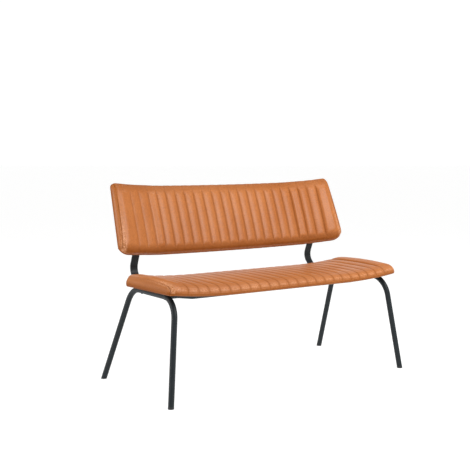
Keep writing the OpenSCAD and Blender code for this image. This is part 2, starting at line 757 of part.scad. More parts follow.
mirror([1, 0, 0]) side_frame();  // side_frame_left
side_frame();  // side_frame_right
rail(front_rail_y);  // front_rail
rail(rear_rail_y);  // rear_rail
mirror([1, 0, 0]) back_support();  // back_support_left
back_support();  // back_support_right
mirror([1, 0, 0]) foot_front();  // foot_front_left
foot_front();  // foot_front_right
mirror([1, 0, 0]) foot_rear();  // foot_rear_left
foot_rear();  // foot_rear_right
seat_shell();
in_seat_frame() foam_block(seat_pad);  // seat_foam
in_seat_frame() main_cover(seat_pad);  // seat_cover
in_seat_frame() end_panel(seat_pad, -1);  // seat_end_panel_left
in_seat_frame() end_panel(seat_pad, 1);  // seat_end_panel_right
seat_dust_cover();
seat_spacers();
seat_bolts();
seat_washers();
seat_t_nuts();
back_shell();
in_back_frame() foam_block(back_pad);  // back_foam
in_back_frame() main_cover(back_pad);  // back_cover
in_back_frame() end_panel(back_pad, -1);  // back_end_panel_left
in_back_frame() end_panel(back_pad, 1);  // back_end_panel_right
back_rear_cover();
at_back_bolts() bolt(back_reach_up);  // back_bolts
at_back_bolts() washer(washer_d);  // back_washers
at_back_bolts() t_nut(back_reach_up);  // back_t_nuts
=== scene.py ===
import json

import bmesh
import bpy
import numpy as np
from math import pi, radians
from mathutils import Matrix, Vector


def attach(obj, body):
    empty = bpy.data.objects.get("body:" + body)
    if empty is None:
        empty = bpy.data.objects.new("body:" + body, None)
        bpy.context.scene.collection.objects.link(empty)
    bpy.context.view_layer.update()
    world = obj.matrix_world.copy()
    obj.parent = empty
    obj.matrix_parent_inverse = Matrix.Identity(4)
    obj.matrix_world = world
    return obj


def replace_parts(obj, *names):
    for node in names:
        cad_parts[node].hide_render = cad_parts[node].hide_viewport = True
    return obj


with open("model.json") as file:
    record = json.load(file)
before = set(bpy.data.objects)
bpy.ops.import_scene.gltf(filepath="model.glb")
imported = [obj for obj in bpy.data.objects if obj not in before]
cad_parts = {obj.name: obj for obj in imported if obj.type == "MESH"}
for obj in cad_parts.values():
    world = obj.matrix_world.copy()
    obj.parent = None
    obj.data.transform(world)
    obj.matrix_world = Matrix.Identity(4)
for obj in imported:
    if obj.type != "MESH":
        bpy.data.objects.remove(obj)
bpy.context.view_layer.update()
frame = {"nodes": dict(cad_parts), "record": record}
mm = 0.001
scene = bpy.context.scene
dice = np.random.default_rng(11)
print("frame loaded:", len(frame["nodes"]), "nodes")


# small helpers

def linearColour(hexText, alpha=1.0):
    # an sRGB hex value turned to linear light
    part = np.array([int(hexText[i:i + 2], 16) for i in (1, 3, 5)]) / 255
    part = np.where(part <= 0.04045, part / 12.92, ((part + 0.055) / 1.055) ** 2.4)
    return (*(float(p) for p in part), alpha)


def addNode(tree, kind, inputs=None, **settings):
    # one node with its settings; inputs gives a socket a value or another node's output.
    # sockets 6 and 7 of a colour mix are its two colours; 1, 2 and 3, 4 of a map range are its two ranges
    node = tree.nodes.new(kind)
    for name, value in settings.items():
        setattr(node, name, value)
    for key, value in (inputs or {}).items():
        if isinstance(value, bpy.types.NodeSocket):
            tree.links.new(value, node.inputs[key])
        else:
            node.inputs[key].default_value = value
    return node


def emptyMaterial(name):
    material = bpy.data.materials.new(name)
    material.use_nodes = True
    material.node_tree.nodes.clear()
    return material, material.node_tree


def meshPiece(name, points, faces, material, uv=None, smooth=True, **layers):
    # points in metres; faces as lists of indices; layers are one number for each point
    mesh = bpy.data.meshes.new(name)
    mesh.from_pydata(points.reshape(-1, 3).tolist(), [], [list(map(int, f)) for f in faces])
    for key, values in layers.items():
        layer = mesh.attributes.new(key, "FLOAT", "POINT")
        layer.data.foreach_set("value", np.asarray(values, np.float32).ravel())
    if uv is not None:
        corners = np.empty(len(mesh.loops), np.int32)
        mesh.loops.foreach_get("vertex_index", corners)
        layer = mesh.uv_layers.new(name="skin")
        layer.data.foreach_set("uv", uv.reshape(-1, 2)[corners].astype(np.float32).ravel())
    mesh.polygons.foreach_set("use_smooth", [smooth] * len(mesh.polygons))
    mesh.materials.append(material)
    mesh.update()
    piece = bpy.data.objects.new(name, mesh)
    scene.collection.objects.link(piece)
    return piece


def facesOut(piece):
    # a new closed shell gets its faces turned outwards
    shell = bmesh.new()
    shell.from_mesh(piece.data)
    bmesh.ops.recalc_face_normals(shell, faces=shell.faces)
    shell.to_mesh(piece.data)
    shell.free()


def gridFaces(rows, columns, closeRows=False):
    # quads of a grid of rows by columns, with the last row joined to the first where asked
    i = np.arange(rows if closeRows else rows - 1)[:, None]
    j = np.arange(columns - 1)[None, :]
    n = (i + 1) % rows
    return np.stack(np.broadcast_arrays(i * columns + j, i * columns + j + 1,
                                        n * columns + j + 1, n * columns + j), -1).reshape(-1, 4)


def gridNormals(points):
    # unit normals of a grid: the cross product of its two directions
    normal = np.cross(np.gradient(points, axis=1), np.gradient(points, axis=0))
    return normal / np.maximum(np.linalg.norm(normal, axis=-1, keepdims=True), 1e-12)


def runLength(points):
    # distance along a line of points, measured from its first one
    return np.concatenate([[0], np.cumsum(np.linalg.norm(np.diff(points, axis=0), axis=-1))])


def softRandom(shape, cells, seed):
    # smooth noise from -1 to 1: a coarse grid of random numbers, blended between its points
    rough = np.random.default_rng(seed).uniform(-1, 1, (cells[0] + 3, cells[1] + 3))

    def blend(values, count, axis):
        at = np.linspace(0.5, values.shape[axis] - 2.5, count)
        low = np.floor(at).astype(int)
        part = at - low
        part = part * part * (3 - 2 * part)
        a, b = np.take(values, low, axis), np.take(values, low + 1, axis)
        part = part.reshape((-1, 1) if axis == 0 else (1, -1))
        return a * (1 - part) + b * part

    return blend(blend(rough, shape[0], 0), shape[1], 1)


# camera, light and floor

studio = dict(
    cameraAt=(-2.43, -3.415, 1.029), turn=34.15, down=5.3, lens=70.67,
    skyHex="#FFFFFF", wallAt=(0.561, 0.828, 0), wallEdge=(0.80, 0.94), wallStrength=1.04, roomStrength=0.36,
    floorDark="#9A9A99", floorLight="#A0A09F", floorGlow=0.84, farEdge=90.0,
    key=dict(at=(1.0, -3.2, 2.9), size=(2.4, 1.4), power=114, aim=(0, 0, 0.6)),
    top=dict(at=(0.6, -0.3, 3.4), size=(2.6, 2.0), power=54, aim=(0, 0, 0.45)),
    side=dict(at=(-3.6, 0.1, 1.4), size=(1.4, 1.6), power=24, aim=(-0.6, 0, 0.6)),
    edge=dict(at=(-3.2, 1.5, 1.3), size=(1.4, 1.6), power=36, aim=(-0.6, 0, 0.6)),
)


def makeStudio(s):
    view = bpy.data.cameras.new("photoCamera")
    view.lens, view.sensor_width = s["lens"], 36
    view.clip_end = 60
    camera = bpy.data.objects.new("photoCamera", view)
    camera.location = s["cameraAt"]
    camera.rotation_euler = (radians(90 - s["down"]), 0, radians(-s["turn"]))
    scene.collection.objects.link(camera)
    scene.camera = camera

    world = bpy.data.worlds.new("studioSky")
    scene.world = world
    world.use_nodes = True
    world.node_tree.nodes.clear()
    # a lit white wall behind the bench, and a dimmer room in front of it
    way = addNode(world.node_tree, "ShaderNodeTexCoord")
    facing = addNode(world.node_tree, "ShaderNodeVectorMath",
                     {0: way.outputs["Generated"], 1: s["wallAt"]}, operation="DOT_PRODUCT")
    glow = addNode(world.node_tree, "ShaderNodeMapRange",
                   {"Value": facing.outputs["Value"], 1: s["wallEdge"][0], 2: s["wallEdge"][1],
                    3: s["roomStrength"], 4: s["wallStrength"]})
    sky = addNode(world.node_tree, "ShaderNodeBackground",
                  {"Color": linearColour(s["skyHex"]), "Strength": glow.outputs[0]})
    addNode(world.node_tree, "ShaderNodeOutputWorld", {"Surface": sky.outputs[0]})

    for name in ("key", "top", "side", "edge"):
        lamp = s[name]
        light = bpy.data.lights.new(name + "Light", "AREA")
        light.shape = "RECTANGLE"
        light.size, light.size_y = lamp["size"]
        light.energy = lamp["power"]
        holder = bpy.data.objects.new(name + "Light", light)
        holder.location = lamp["at"]
        beam = Vector(lamp["aim"]) - Vector(lamp["at"])
        holder.rotation_euler = beam.to_track_quat("-Z", "Y").to_euler()
        scene.collection.objects.link(holder)

    # a matt floor of acrylic lit from below: bright enough to lose itself in the white wall
    paint, tree = emptyMaterial("under-lit white acrylic")
    tone = addNode(tree, "ShaderNodeTexNoise", {"Scale": 1.3, "Detail": 3.0})
    shade = addNode(tree, "ShaderNodeMix", {0: tone.outputs[0], 6: linearColour(s["floorDark"]),
                                            7: linearColour(s["floorLight"])}, data_type="RGBA")
    skin = addNode(tree, "ShaderNodeBsdfPrincipled",
                   {"Base Color": shade.outputs[2], "Roughness": 0.9, "Specular IOR Level": 0.1,
                    "Emission Color": linearColour(s["skyHex"]), "Emission Strength": s["floorGlow"]})
    addNode(tree, "ShaderNodeOutputMaterial", {"Surface": skin.outputs[0]})
    # the floor is a level grid, wide enough to run out of sight
    away = np.array([-s["farEdge"], -8, -3, 0, 3, 8, s["farEdge"]])
    level = np.stack(np.broadcast_arrays(away[:, None], away[None], 0.0), -1)
    floor = meshPiece("studioFloor", level, gridFaces(len(away), len(away))[:, ::-1], paint)


makeStudio(studio)
scene.view_settings.view_transform = "Standard"
print("studio ready")


# materials

leatherLook = dict(
    # the third colour is painted shade; the fourth is the pale of wear and painted highlight
    tan="#A96431", pale="#B26D39", shadeTone="#6E3812", wearHighlight="#D9A07A",
    grainMm=2.4,  # hide grain is about 0.8 mm across, drawn three times as coarse so that it shows
    grainDepthMm=0.16, creaseMm=30, creaseDepthMm=0.75,
    roughLow=0.30, roughHigh=0.43, gloss=0.24, foldGloss=0.02, foldFull=0.55,
)


def cognacLeather(s):
    # pull-up cowhide, drum dyed and waxed: a fine pebbled grain with painted shade in folds, seams and rolls,
    # pale marks that are partly wear and partly painted highlight, and broad, slightly pink, satin lights
    material, tree = emptyMaterial("cognac pull-up leather, waxed")
    place = addNode(tree, "ShaderNodeTexCoord")
    spot = place.outputs["Object"]
    cloud = addNode(tree, "ShaderNodeTexNoise",
                    {"Vector": spot, "Scale": 6.0, "Detail": 4.0, "Roughness": 0.55})
    speck = addNode(tree, "ShaderNodeTexNoise",
                    {"Vector": spot, "Scale": 1000 / (2.2 * s["grainMm"]), "Detail": 2.0, "Roughness": 0.6})
    cloudPart = addNode(tree, "ShaderNodeMapRange", {"Value": cloud.outputs[0], 1: 0.36, 2: 0.66})
    speckPart = addNode(tree, "ShaderNodeMapRange", {"Value": speck.outputs[0], 1: 0.30, 2: 0.72})
    base = addNode(tree, "ShaderNodeMix", {0: cloudPart.outputs[0], 6: linearColour(s["tan"]),
                                           7: linearColour(s["pale"])}, data_type="RGBA")
    speckled = addNode(tree, "ShaderNodeMix", {0: 0.16, 6: base.outputs[2], 7: speckPart.outputs[0]},
                       data_type="RGBA", blend_type="OVERLAY")
    # painted shade: folds, seams and rolls are mixed towards a dark shade colour
    shadeMask = addNode(tree, "ShaderNodeAttribute", attribute_name="groove")
    shadedColour = addNode(tree, "ShaderNodeMix", {0: shadeMask.outputs["Fac"], 6: speckled.outputs[2],
                                             7: linearColour(s["shadeTone"])}, data_type="RGBA")
    # pale marks, partly wear and partly painted highlight, broken up by a scuff noise
    wear = addNode(tree, "ShaderNodeAttribute", attribute_name="wear")
    scuff = addNode(tree, "ShaderNodeTexNoise",
                    {"Vector": spot, "Scale": 190.0, "Detail": 3.0, "Roughness": 0.7})
    scuffPart = addNode(tree, "ShaderNodeMapRange", {"Value": scuff.outputs[0], 1: 0.40, 2: 0.62})
    wearHighlight = addNode(tree, "ShaderNodeMath", {0: wear.outputs["Fac"], 1: scuffPart.outputs[0]},
                   operation="MULTIPLY")
    colour = addNode(tree, "ShaderNodeMix", {0: wearHighlight.outputs[0], 6: shadedColour.outputs[2],
                                             7: linearColour(s["wearHighlight"])}, data_type="RGBA")
    # grain: round pebbles with fine valleys, and soft creases where the hide is loose
    pebble = addNode(tree, "ShaderNodeTexVoronoi", {"Vector": spot, "Scale": 1000 / s["grainMm"]},
                     feature="SMOOTH_F1")
    grain = addNode(tree, "ShaderNodeBump", {"Height": pebble.outputs[0], "Strength": 0.55,
                                             "Distance": s["grainDepthMm"] * mm}, invert=True)
    crease = addNode(tree, "ShaderNodeTexNoise",
                     {"Vector": spot, "Scale": 1000 / s["creaseMm"], "Detail": 3.0, "Roughness": 0.5,
                      "Distortion": 0.6})
    soft = addNode(tree, "ShaderNodeBump", {"Height": crease.outputs[0], "Strength": 0.5,
                                            "Distance": s["creaseDepthMm"] * mm, "Normal": grain.outputs[0]})
    rough = addNode(tree, "ShaderNodeMapRange", {"Value": speck.outputs[0], 1: 0.3, 2: 0.7,
                                                 3: s["roughLow"], 4: s["roughHigh"]})
    # little light reaches into a fold, so it shines less
    gloss = addNode(tree, "ShaderNodeMapRange", {"Value": shadeMask.outputs["Fac"], 2: s["foldFull"],
                                                 3: s["gloss"], 4: s["foldGloss"]})
    skin = addNode(tree, "ShaderNodeBsdfPrincipled",
                   {"Base Color": colour.outputs[2], "Roughness": rough.outputs[0], "IOR": 1.5,
                    "Specular IOR Level": gloss.outputs[0], "Normal": soft.outputs[0]})
    addNode(tree, "ShaderNodeOutputMaterial", {"Surface": skin.outputs[0]})
    return material


steelLook = dict(dark="#1A2023", light="#252A2D", peelMm=3.0, peelDepthMm=0.05,
                 roughLow=0.40, roughHigh=0.52, gloss=0.22)


def powderCoat(s):
    # steel under a baked powder coat: satin dark grey with a faint orange peel
    material, tree = emptyMaterial("powder-coated steel, dark grey")
    spot = addNode(tree, "ShaderNodeTexCoord").outputs["Object"]
    cloud = addNode(tree, "ShaderNodeTexNoise", {"Vector": spot, "Scale": 14.0, "Detail": 4.0})
    peel = addNode(tree, "ShaderNodeTexNoise", {"Vector": spot, "Scale": 1000 / s["peelMm"], "Detail": 1.0})
    base = addNode(tree, "ShaderNodeMix", {0: cloud.outputs[0], 6: linearColour(s["dark"]),
                                           7: linearColour(s["light"])}, data_type="RGBA")
    bump = addNode(tree, "ShaderNodeBump", {"Height": peel.outputs[0], "Strength": 0.35,
                                            "Distance": s["peelDepthMm"] * mm})
    rough = addNode(tree, "ShaderNodeMapRange", {"Value": cloud.outputs[0], 1: 0.3, 2: 0.7,
                                                 3: s["roughLow"], 4: s["roughHigh"]})
    skin = addNode(tree, "ShaderNodeBsdfPrincipled",
                   {"Base Color": base.outputs[2], "Roughness": rough.outputs[0], "IOR": 1.5,
                    "Specular IOR Level": s["gloss"], "Normal": bump.outputs[0]})
    addNode(tree, "ShaderNodeOutputMaterial", {"Surface": skin.outputs[0]})
    return material


plyLook = dict(light="#D3B68A", dark="#B08C5C", grainMm=4.0, veneerMm=1.4)


def birchPlywood(s):
    # rotary-cut birch veneers glued in a press: pale, with long flecks and darker end grain lines
    material, tree = emptyMaterial("birch plywood, sanded")
    spot = addNode(tree, "ShaderNodeTexCoord").outputs["Object"]
    drawn = addNode(tree, "ShaderNodeMapping", {"Vector": spot, "Scale": (0.06, 1.0, 1.0)})
    fleck = addNode(tree, "ShaderNodeTexNoise", {"Vector": drawn.outputs[0], "Scale": 1000 / s["grainMm"],
                                                 "Detail": 4.0, "Roughness": 0.6})
    layer = addNode(tree, "ShaderNodeTexWave", {"Vector": spot, "Scale": 1000 / s["veneerMm"] / 20,
                                                "Distortion": 0.3}, bands_direction="Z")
    mixed = addNode(tree, "ShaderNodeMath", {0: fleck.outputs[0], 1: layer.outputs[1]}, operation="MULTIPLY")
    base = addNode(tree, "ShaderNodeMix", {0: mixed.outputs[0], 6: linearColour(s["light"]),
                                           7: linearColour(s["dark"])}, data_type="RGBA")
    bump = addNode(tree, "ShaderNodeBump", {"Height": fleck.outputs[0], "Strength": 0.3, "Distance": 0.2 * mm})
    skin = addNode(tree, "ShaderNodeBsdfPrincipled", {"Base Color": base.outputs[2], "Roughness": 0.62,
                                                      "Normal": bump.outputs[0]})
    addNode(tree, "ShaderNodeOutputMaterial", {"Surface": skin.outputs[0]})
    return material


clothLook = dict(dark="#131415", light="#232527", dimpleMm=2.5)  # bonded dimples are 1.5 mm, drawn coarser


def bondedCloth(s):
    # spunbond polypropylene under the seat: matt black, with a grid of bonded dimples
    material, tree = emptyMaterial("spunbond lining cloth, black")
    spot = addNode(tree, "ShaderNodeTexCoord").outputs["Object"]
    dimple = addNode(tree, "ShaderNodeTexVoronoi", {"Vector": spot, "Scale": 1000 / s["dimpleMm"],
                                                    "Randomness": 0.25})
    fibre = addNode(tree, "ShaderNodeTexNoise", {"Vector": spot, "Scale": 420.0, "Detail": 3.0})
    base = addNode(tree, "ShaderNodeMix", {0: fibre.outputs[0], 6: linearColour(s["dark"]),
                                           7: linearColour(s["light"])}, data_type="RGBA")
    bump = addNode(tree, "ShaderNodeBump", {"Height": dimple.outputs[0], "Strength": 0.6, "Distance": 0.3 * mm})
    skin = addNode(tree, "ShaderNodeBsdfPrincipled",
                   {"Base Color": base.outputs[2], "Roughness": 0.95, "Specular IOR Level": 0.2,
                    "Sheen Weight": 0.25, "Normal": bump.outputs[0]})
    addNode(tree, "ShaderNodeOutputMaterial", {"Surface": skin.outputs[0]})
    return material


plasticLook = dict(dark="#17181A", light="#222426", sparkMm=1.6, sparkDepthMm=0.06)


def mouldedPlastic(s):
    # polypropylene moulded in a spark-eroded tool: black, matt, finely pitted
    material, tree = emptyMaterial("moulded polypropylene, black")
    spot = addNode(tree, "ShaderNodeTexCoord").outputs["Object"]
    pit = addNode(tree, "ShaderNodeTexNoise", {"Vector": spot, "Scale": 1000 / s["sparkMm"], "Detail": 3.0})
    base = addNode(tree, "ShaderNodeMix", {0: pit.outputs[0], 6: linearColour(s["dark"]),
                                           7: linearColour(s["light"])}, data_type="RGBA")
    bump = addNode(tree, "ShaderNodeBump", {"Height": pit.outputs[0], "Strength": 0.5,
                                            "Distance": s["sparkDepthMm"] * mm})
    skin = addNode(tree, "ShaderNodeBsdfPrincipled", {"Base Color": base.outputs[2], "Roughness": 0.6,
                                                      "IOR": 1.49, "Normal": bump.outputs[0]})
    addNode(tree, "ShaderNodeOutputMaterial", {"Surface": skin.outputs[0]})
    return material


oxideLook = dict(dark="#17181A", light="#26282A", roughLow=0.34, roughHigh=0.5)


def blackOxide(s):
    # blackened steel screws: thin, dark and slightly oily, with lighter rubbed patches
    material, tree = emptyMaterial("steel, blackened and oiled")
    spot = addNode(tree, "ShaderNodeTexCoord").outputs["Object"]
    patch = addNode(tree, "ShaderNodeTexNoise", {"Vector": spot, "Scale": 320.0, "Detail": 3.0})
    base = addNode(tree, "ShaderNodeMix", {0: patch.outputs[0], 6: linearColour(s["dark"]),
                                           7: linearColour(s["light"])}, data_type="RGBA")
    rough = addNode(tree, "ShaderNodeMapRange", {"Value": patch.outputs[0], 1: 0.3, 2: 0.7,
                                                 3: s["roughLow"], 4: s["roughHigh"]})
    skin = addNode(tree, "ShaderNodeBsdfPrincipled", {"Base Color": base.outputs[2], "Metallic": 1.0,
                                                      "Roughness": rough.outputs[0]})
    addNode(tree, "ShaderNodeOutputMaterial", {"Surface": skin.outputs[0]})
    return material


zincLook = dict(light="#C3C7CB", dull="#A9A79E", roughLow=0.28, roughHigh=0.46)


def zincPlate(s):
    # steel fasteners, zinc plated and passivated: bright, slightly blue and yellow, with dull patches
    material, tree = emptyMaterial("zinc-plated steel")
    spot = addNode(tree, "ShaderNodeTexCoord").outputs["Object"]
    patch = addNode(tree, "ShaderNodeTexNoise", {"Vector": spot, "Scale": 260.0, "Detail": 4.0})
    base = addNode(tree, "ShaderNodeMix", {0: patch.outputs[0], 6: linearColour(s["light"]),
                                           7: linearColour(s["dull"])}, data_type="RGBA")
    rough = addNode(tree, "ShaderNodeMapRange", {"Value": patch.outputs[0], 1: 0.3, 2: 0.7,
                                                 3: s["roughLow"], 4: s["roughHigh"]})
    skin = addNode(tree, "ShaderNodeBsdfPrincipled", {"Base Color": base.outputs[2], "Metallic": 1.0,
                                                      "Roughness": rough.outputs[0]})
    addNode(tree, "ShaderNodeOutputMaterial", {"Surface": skin.outputs[0]})
    return material


finishes = dict(
    leather=cognacLeather(leatherLook), coated_steel=powderCoat(steelLook), plywood=birchPlywood(plyLook),
    black_cloth=bondedCloth(clothLook), black_plastic=mouldedPlastic(plasticLook),
    zinc_steel=zincPlate(zincLook), blackened_steel=blackOxide(oxideLook),
)
finishes["foam"] = finishes["plywood"]  # the foam is never seen: the pads take its place


threadLook = dict(light="#8C5222", dark="#6B3A15", twistMm=1.6)


def sewnThread(s):
    # bonded polyester thread, a shade off the leather: three twisted plies with a dull shine
    material, tree = emptyMaterial("bonded polyester thread, tan")
    spot = addNode(tree, "ShaderNodeTexCoord").outputs["Object"]
    ply = addNode(tree, "ShaderNodeTexWave",
                  {"Vector": spot, "Scale": 1000 / s["twistMm"] / 20, "Distortion": 0.4},
                  bands_direction="DIAGONAL")
    base = addNode(tree, "ShaderNodeMix", {0: ply.outputs[1], 6: linearColour(s["dark"]),
                                           7: linearColour(s["light"])}, data_type="RGBA")
    bump = addNode(tree, "ShaderNodeBump", {"Height": ply.outputs[1], "Strength": 0.5, "Distance": 0.15 * mm})
    skin = addNode(tree, "ShaderNodeBsdfPrincipled", {"Base Color": base.outputs[2], "Roughness": 0.7,
                                                      "Specular IOR Level": 0.2, "Normal": bump.outputs[0]})
    addNode(tree, "ShaderNodeOutputMaterial", {"Surface": skin.outputs[0]})
    return material


thread = sewnThread(threadLook)


def finishNodes():
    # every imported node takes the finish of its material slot
    for part in frame["record"]["subparts"]:
        material = finishes[part["material_slot"]]
        piece = frame["nodes"][part["node"]]
        if not piece.material_slots:
            piece.data.materials.append(material)
        for place in piece.material_slots:
            place.material = material


finishNodes()
print("materials ready")


# the two pads

# Lengths in millimetres. spans are the bends of the face from its middle outwards: length, radius.
# A roll is its depth and height, endSag hangs at the front and at the rear, and the painted shade on the front
# roll gives how dark it is, from where to where it fades, and how dark the turn under it is; then comes how
# strong the painted highlight along the front roll's crests is.
seatPad = dict(
    name="seat", halfLength=609, halfWidth=206, thickness=42, frontRoll=(44, 31), rearRoll=(26, 24),
    endRound=30, crown=3.5, endCrown=6, spans=((300, 0), (1500, 2150)), taper=0,
    frontCorner=38, rearCorner=38, turnIn=10, hem=28, leather=2, shell=12, endSeam=5.6,
    seamDepth=2.8, seamWidth=2.2, puff=2.8, endSwell=2.5, endSag=(4, 11), seamShows=(-220, -165),
    bridge=0, rollShade=(0.45, 2, 8, 0.45), rubAndHighlight=0.5, fade=0.3, slack=0, topRows=51,
    middle=(0, -83.5, 474), lean=0, replaces=("seat_cover", "seat_foam"), fill=0.9,
)
backPad = dict(
    name="back", halfLength=616, halfWidth=162.5, thickness=42, frontRoll=(30, 22), rearRoll=(44, 23),
    endRound=22, crown=3, endCrown=0, spans=((385, 6500), (radians(10.3) * 350, 350), (1500, 0)), taper=10,
    frontCorner=48, rearCorner=18, turnIn=10, hem=28, leather=2, shell=12, endSeam=6.0,
    seamDepth=4.2, seamWidth=2.2, puff=4.2, endSwell=2.5, endSag=(0, 0), seamShows=(-100, 50),
    bridge=1.6, rollShade=(0.6, 20, 54, 0.55), rubAndHighlight=0, fade=0.6, slack=0.45, topRows=43,
    middle=(0, 213.5, 718), lean=69.5, replaces=("back_cover", "back_foam"), fill=0.85,
)
# what both pads share
padForm = dict(sagRun=18, swellRun=70, rollRoom=0.92, liningGap=0.4, seamFaint=0.06, seamFadeRun=60)
channels = dict(count=21, pitch=50.4)
lastSeam = channels["count"] * channels["pitch"] / 2


def overFace(u, b, spans):
    # a point b over a bent face: walk its spans outwards, add each arc's chord, turn by its angle
    left, x, z, turn = np.abs(u), 0 * u, 0 * u, 0 * u
    for length, radius in spans:
        run = np.clip(left, 0, length)
        after = turn + run / radius if radius else turn
        x = x + (radius * (np.sin(after) - np.sin(turn)) if radius else run * np.cos(turn))
        z = z + (radius * (np.cos(turn) - np.cos(after)) if radius else run * np.sin(turn))
        left, turn = left - run, after
    return np.sign(u) * (x - b * np.sin(turn)), z + b * np.cos(turn)


def toRoom(pad, u, y, b):
    # pad coordinates to metres in the room: past the last seam the ends follow the taper,
    # then the face is bent, leaned and moved
    full = pad["halfLength"]
    edge = full - pad["taper"] * y / pad["halfWidth"]
    tapered = lastSeam + (np.abs(u) - lastSeam) * (edge - lastSeam) / (full - lastSeam)
    stretched = np.where(np.abs(u) <= lastSeam, u, np.sign(u) * tapered)
    x, z = overFace(stretched, b, pad["spans"])
    y = y + 0 * x
    lean = radians(pad["lean"])
    cx, cy, cz = pad["middle"]
    return np.stack([x + cx, y * np.cos(lean) - z * np.sin(lean) + cy,
                     y * np.sin(lean) + z * np.cos(lean) + cz], -1) * mm


def drawnIn(radius, e):
    # how far a quarter circle of this radius has drawn in at distance e from the end
    return radius - np.sqrt(np.maximum(radius ** 2 - np.clip(radius - e, 0, radius) ** 2, 0))


def sectionRows(pad):
    # eight numbers for each row round a section, from the front hem over the top to the rear hem:
    # y = rear * [1] - front * [0] + [2], z = top * [3] + bottom * [4] + [5] - rise * [6] - rearRise * [7]
    c, hem, crown = pad["turnIn"], pad["hem"], pad["crown"]
    depth, rearDepth = pad["frontRoll"][0], pad["rearRoll"][0]
    rows = []
    for f in np.linspace(0, 1, 4)[:-1]:
        rows.append((1, 0, hem - f * (hem - c), 0, 1, 0, 0, 0))
    for a in np.linspace(0, pi / 2, 5)[:-1]:
        rows.append((1, 0, c * (1 - np.sin(a)), 0, 1, c * (1 - np.cos(a)), 0, 0))
    for f in np.linspace(0, 1, 4)[:-1]:
        rows.append((1, 0, 0, f, 1 - f, (1 - f) * c, f, 0))
    for a in np.linspace(0, pi / 2, 11)[:-1]:
        rows.append((1, 0, depth * (1 - np.cos(a)), 1, 0, 0, 1 - np.sin(a), 0))
    for f in np.linspace(0, 1, pad["topRows"]):
        rows.append((1 - f, f, depth * (1 - f) - rearDepth * f, 1, 0, crown * (1 - (2 * f - 1) ** 2), 0, 0))
    for a in np.linspace(pi / 2, 0, 10)[1:]:
        rows.append((0, 1, -rearDepth * (1 - np.cos(a)), 1, 0, 0, 0, 1 - np.sin(a)))
    for f in np.linspace(1, 0, 4)[1:]:
        rows.append((0, 1, 0, f, 1 - f, (1 - f) * c, 0, f))
    for a in np.linspace(pi / 2, 0, 5)[1:]:
        rows.append((0, 1, -c * (1 - np.sin(a)), 0, 1, c * (1 - np.cos(a)), 0, 0))
    for f in np.linspace(1, 0, 4)[1:]:
        rows.append((0, 1, -(hem - f * (hem - c)), 0, 1, 0, 0, 0))
    return np.array(rows, float)


def sagAt(pad, e, share):
    # how far the end hangs down at e, from its front (share 0) to its rear (share 1)
    front, rear = pad["endSag"]
    return (front + (rear - front) * share) * np.exp(-(e / padForm["sagRun"]) ** 2)


def sectionAt(pad, e, rows):
    # y and z of every row (down) at every distance e from the end (across)
    a1, a2, b, c, low, d, f, g = rows.T[:, :, None]
    front = pad["halfWidth"] - drawnIn(pad["frontCorner"], e)[None]
    rear = pad["halfWidth"] - drawnIn(pad["rearCorner"], e)[None]
    top = -drawnIn(pad["endRound"], e)[None]
    bottom = -pad["thickness"] - padForm["liningGap"] - pad["leather"] + drawnIn(pad["turnIn"], e)[None]
    bottom = bottom - sagAt(pad, e[None], a2)
    # the rolls stay a little lower than the side they stand on
    room = padForm["rollRoom"] * (top - bottom - pad["turnIn"])
    rise, rearRise = (np.minimum(pad[k][1], room) for k in ("frontRoll", "rearRoll"))
    y = -front * a1 + rear * a2 + b
    # the foam bulges upwards at the ends, most of all half-way between front and rear
    swell = pad["endCrown"] * np.exp(-(e[None] / padForm["swellRun"]) ** 2) * (1 - (y / pad["halfWidth"]) ** 2)
    return y, (top + swell) * c + bottom * low + d - rise * f - rearRise * g


def seamPull(pad, y):
    # how strongly the end seam shows at y: taut in one stretch, nearly smooth elsewhere
    low, high = pad["seamShows"]
    beyond = np.maximum(np.maximum(y - high, low - y), 0)
    faint = padForm["seamFaint"]
    return faint + (1 - faint) * np.clip(1 - beyond / padForm["seamFadeRun"], 0, 1)


def padColumns(pad):
    # places of the columns along the pad, in millimetres: close together beside each seam and at the
    # ends; the plain field's are drawn for a field of 74.2 mm and scaled to its real length
    inside = np.array([0, 1.8, 5.0, 10.5, 17.5, 25.2, 32.9, 39.9, 45.4, 48.6])
    seams = (np.arange(channels["count"]) - channels["count"] / 2) * channels["pitch"]
    field = pad["halfLength"] - pad["endSeam"] - lastSeam
    share = np.array([1.8, 5.0, 11.0, 19.0, 28.0, 38.0, 48.0, 57.0]) / 74.2
    outer = np.concatenate([share * field, field - np.array([10.5, 6.5, 3.6, 1.6, 0.5, 0.0])])
    right = lastSeam + np.sort(outer)
    return np.concatenate([-right[::-1], (seams[:, None] + inside[None]).ravel(), [lastSeam], right])


puffCloth = dict(frames=14, quality=4, pressure=4.0, tension=22, bending=1.2, mass=0.3, capMm=9)


